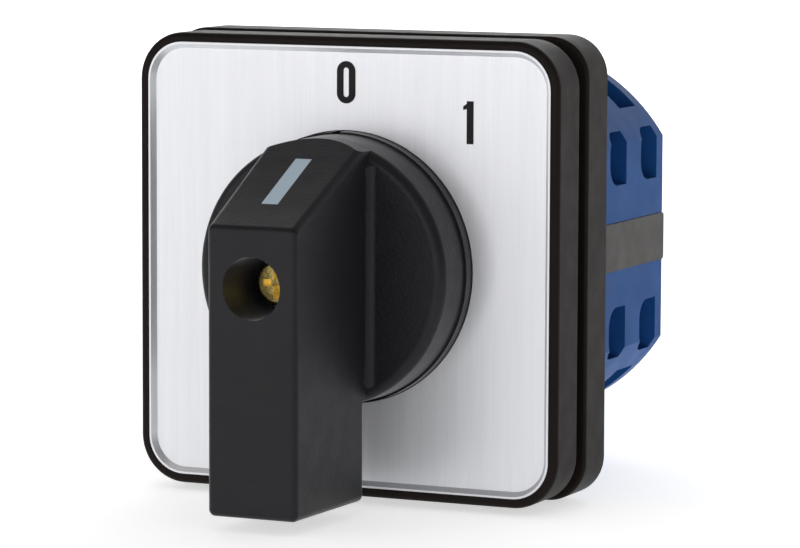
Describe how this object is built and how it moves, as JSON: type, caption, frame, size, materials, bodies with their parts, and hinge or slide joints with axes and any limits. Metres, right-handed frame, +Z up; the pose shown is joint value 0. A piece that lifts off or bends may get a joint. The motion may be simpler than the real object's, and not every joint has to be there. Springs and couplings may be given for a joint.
{
  "type": "cam switch",
  "caption": "Panel-mounted two-position rotary cam switch: square bezel with a brushed legend plate, lever knob, and a blue stacked contact body behind.",
  "frame": {"origin": "on the shaft axis, on the back face of the bezel, where it lies on the panel", "axes": "+Y backwards along the shaft, through the panel; +Z up; +X to the right of somebody facing the switch"},
  "size_m": [0.0484, 0.068, 0.0484],
  "materials": {
    "dark_bezel": "fine satin grain, nearly black",
    "brushed_plate": "finely brushed upright, clear satin",
    "dark_print": "flat black print",
    "dark_moulding": "moulded, nearly black",
    "knob_plastic": "fine spark grain, charcoal black",
    "pale_mark": "smooth, pale blue-white",
    "blue_body": "satin moulded blue",
    "label_strip": "dark brown-black strip",
    "brass_screw": "yellow passivated",
    "contact_brass": "stamped",
    "zinc_steel": "bright zinc",
    "spring_steel": "drawn wire",
    "pale_plastic": "natural nylon"
  },
  "bodies": {
    "switch_body": {"bezel_frame": "dark_bezel", "legend_plate": "brushed_plate", "position_marks": "dark_print", "panel_collar": "dark_moulding", "mounting_plate": "dark_moulding", "detent_housing": "blue_body", "stop_ring": "dark_moulding", "rear_cover": "blue_body", "tie_screws": "zinc_steel", "tie_nuts": "zinc_steel", "terminal_label_right": "label_strip", "terminal_label_left": "label_strip", "detent_spring_upper": "spring_steel", "detent_spring_lower": "spring_steel", "deck_housing_1": "blue_body", "fixed_contacts_1": "contact_brass", "clamp_washers_1": "zinc_steel", "terminal_screws_1": "zinc_steel", "contact_spring_1_upper": "spring_steel", "contact_spring_1_lower": "spring_steel", "deck_housing_2": "blue_body", "fixed_contacts_2": "contact_brass", "clamp_washers_2": "zinc_steel", "terminal_screws_2": "zinc_steel", "contact_spring_2_upper": "spring_steel", "contact_spring_2_lower": "spring_steel"},
    "rotor": {"knob_handle": "knob_plastic", "knob_indicator": "pale_mark", "knob_screw": "brass_screw", "knob_screw_washer": "zinc_steel", "shaft": "zinc_steel", "star_wheel": "pale_plastic", "stop_arm": "zinc_steel", "cam_1": "pale_plastic", "cam_2": "pale_plastic"},
    "plunger_1_upper": {"plunger_1_upper": "pale_plastic", "contact_bridge_1_upper": "contact_brass"},
    "plunger_1_lower": {"plunger_1_lower": "pale_plastic", "contact_bridge_1_lower": "contact_brass"},
    "plunger_2_upper": {"plunger_2_upper": "pale_plastic", "contact_bridge_2_upper": "contact_brass"},
    "plunger_2_lower": {"plunger_2_lower": "pale_plastic", "contact_bridge_2_lower": "contact_brass"},
    "detent_slider_upper": {"detent_slider_upper": "pale_plastic"},
    "detent_slider_lower": {"detent_slider_lower": "pale_plastic"}
  },
  "joints": [
    {"name": "knob_turn", "type": "hinge", "parent": "switch_body", "child": "rotor", "pos_m": [0, 0, 0], "axis": [0, 1, 0], "range_deg": [0, 45]},
    {"name": "plunger_1_upper_slide", "type": "slide", "parent": "switch_body", "child": "plunger_1_upper", "axis": [0, 0, 1], "range_m": [-0.00156, 0], "deforming": ["contact_spring_1_upper"]},
    {"name": "plunger_1_lower_slide", "type": "slide", "parent": "switch_body", "child": "plunger_1_lower", "axis": [0, 0, -1], "range_m": [-0.00156, 0], "deforming": ["contact_spring_1_lower"]},
    {"name": "plunger_2_upper_slide", "type": "slide", "parent": "switch_body", "child": "plunger_2_upper", "axis": [0, 0, 1], "range_m": [-0.00156, 0], "deforming": ["contact_spring_2_upper"]},
    {"name": "plunger_2_lower_slide", "type": "slide", "parent": "switch_body", "child": "plunger_2_lower", "axis": [0, 0, -1], "range_m": [-0.00156, 0], "deforming": ["contact_spring_2_lower"]},
    {"name": "detent_upper_slide", "type": "slide", "parent": "switch_body", "child": "detent_slider_upper", "axis": [0, 0, -1], "range_m": [0, 0.00045], "stiffness_N_per_m": 1000, "deforming": ["detent_spring_upper"]},
    {"name": "detent_lower_slide", "type": "slide", "parent": "switch_body", "child": "detent_slider_lower", "axis": [0, 0, 1], "range_m": [0, 0.00045], "stiffness_N_per_m": 1000, "deforming": ["detent_spring_lower"]}
  ],
  "couplings": [
    {"joint": "plunger_1_upper_slide", "follows": "knob_turn", "m_per_rad": -0.0019735},
    {"joint": "plunger_1_lower_slide", "follows": "knob_turn", "m_per_rad": -0.0019735},
    {"joint": "plunger_2_upper_slide", "follows": "knob_turn", "m_per_rad": -0.0019735},
    {"joint": "plunger_2_lower_slide", "follows": "knob_turn", "m_per_rad": -0.0019735}
  ]
}
